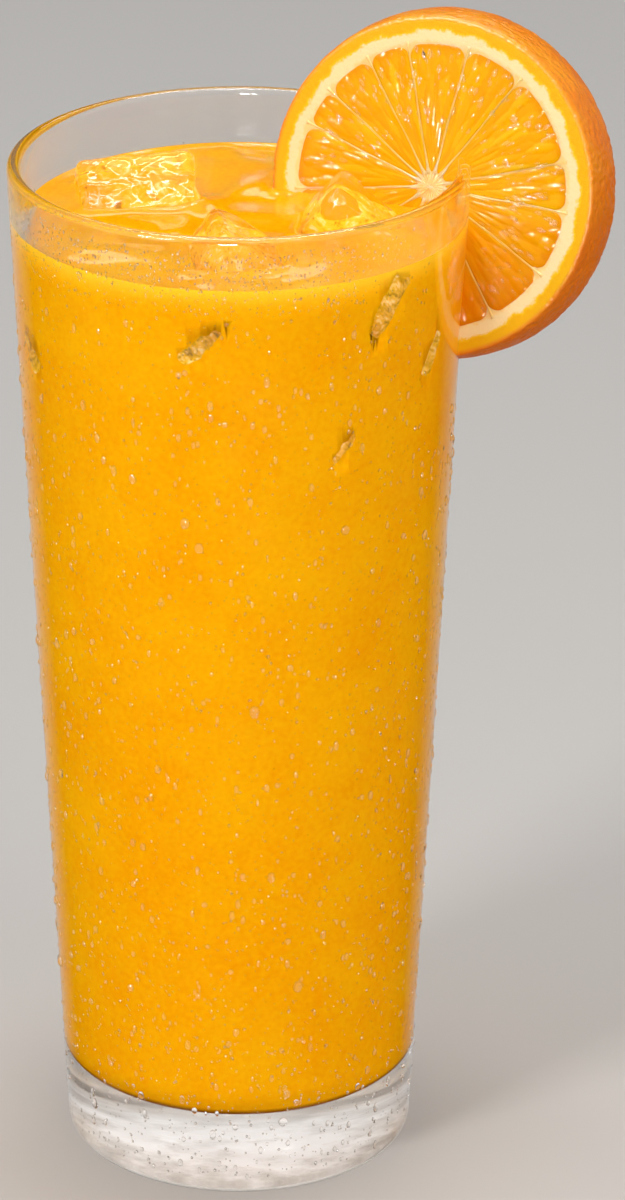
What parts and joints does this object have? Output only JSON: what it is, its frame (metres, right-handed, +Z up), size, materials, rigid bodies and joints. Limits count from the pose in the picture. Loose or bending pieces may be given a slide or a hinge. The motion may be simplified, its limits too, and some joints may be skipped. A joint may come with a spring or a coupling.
{
  "type": "glass of orange juice",
  "caption": "Tall tapered tumbler filled with orange juice, with ice cubes afloat and a thick round slice of orange slit onto its rim.",
  "frame": {"origin": "on the glass's axis, in the plane of the flat ring that it stands on", "axes": "+Z up along the glass's axis; +X towards the orange slice; -Y is the side that the slice's front cut face is turned to"},
  "size_m": [0.1051, 0.08, 0.2086],
  "materials": {
    "glass": "clear, smooth, with fine condensation outside",
    "juice": "opaque, wet and glossy",
    "ice": "clear, wet, with rounded edges",
    "orange_slice": "wet flesh, cream pith and dimpled peel"
  },
  "bodies": {
    "root": {"glass": "glass", "juice": "juice", "ice_left": "ice", "ice_right": "ice", "ice_front": "ice", "orange_slice": "orange_slice"}
  },
  "joints": []
}
